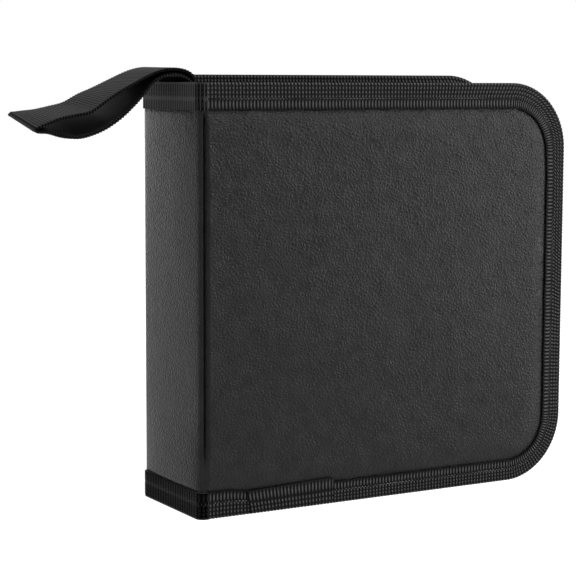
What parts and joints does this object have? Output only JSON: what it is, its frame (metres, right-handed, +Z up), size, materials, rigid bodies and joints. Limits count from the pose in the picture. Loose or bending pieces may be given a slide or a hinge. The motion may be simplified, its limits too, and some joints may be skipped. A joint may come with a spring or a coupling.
{
  "type": "zip disc wallet",
  "caption": "Zip-around disc wallet: padded covers hinged on a flat spine, taped edges, a zip in the recess, sleeves inside and a webbing wrist strap.",
  "frame": {"origin": "middle of the face that the spine's lower binding stands on", "axes": "+X from the spine to the fore-edge, +Y from the front cover to the back cover, +Z up"},
  "size_m": [0.2279, 0.0518, 0.1707],
  "materials": {
    "leather": "grained polyurethane",
    "foam": "open foam",
    "board": "grey board",
    "lining": "woven nylon",
    "binding": "grosgrain",
    "zip_tape": "knitted polyester",
    "zip_coil": "nylon",
    "webbing": "ribbed webbing",
    "sleeves": "clear film on felt",
    "metal": "blackened zinc"
  },
  "bodies": {
    "spine": {"spine_leather": "leather", "spine_board": "board", "spine_lining": "lining", "spine_binding_bottom": "binding", "spine_binding_top": "binding", "sleeve_strip": "lining", "disc_sleeves": "sleeves", "wrist_strap": "webbing"},
    "front_cover": {"front_leather": "leather", "front_foam": "foam", "front_board": "board", "front_lining": "lining", "front_binding": "binding", "front_zip_tape": "zip_tape", "front_zip_coil": "zip_coil"},
    "back_cover": {"back_leather": "leather", "back_foam": "foam", "back_board": "board", "back_lining": "lining", "back_binding": "binding", "back_zip_tape": "zip_tape", "back_zip_coil": "zip_coil", "zip_stop": "metal"},
    "zip_slider": {"zip_slider": "metal"},
    "zip_puller": {"zip_puller": "metal"}
  },
  "joints": [
    {"name": "front_cover_hinge", "type": "hinge", "parent": "spine", "child": "front_cover", "pos_m": [0.00185, -0.025, 0], "axis": [0, 0, -1], "range_deg": [0, 90], "deforming": ["front_zip_coil"]},
    {"name": "back_cover_hinge", "type": "hinge", "parent": "spine", "child": "back_cover", "pos_m": [0.00185, 0.025, 0], "axis": [0, 0, 1], "range_deg": [0, 90]},
    {"name": "zip_slide", "type": "slide", "parent": "back_cover", "child": "zip_slider", "axis": [1, 0, 0], "range_m": [0, 0.12], "deforming": ["back_zip_coil"]},
    {"name": "puller_hinge", "type": "hinge", "parent": "zip_slider", "child": "zip_puller", "pos_m": [0.01395, 0, 0.15865], "axis": [0, -1, 0], "range_deg": [0, 120]}
  ]
}
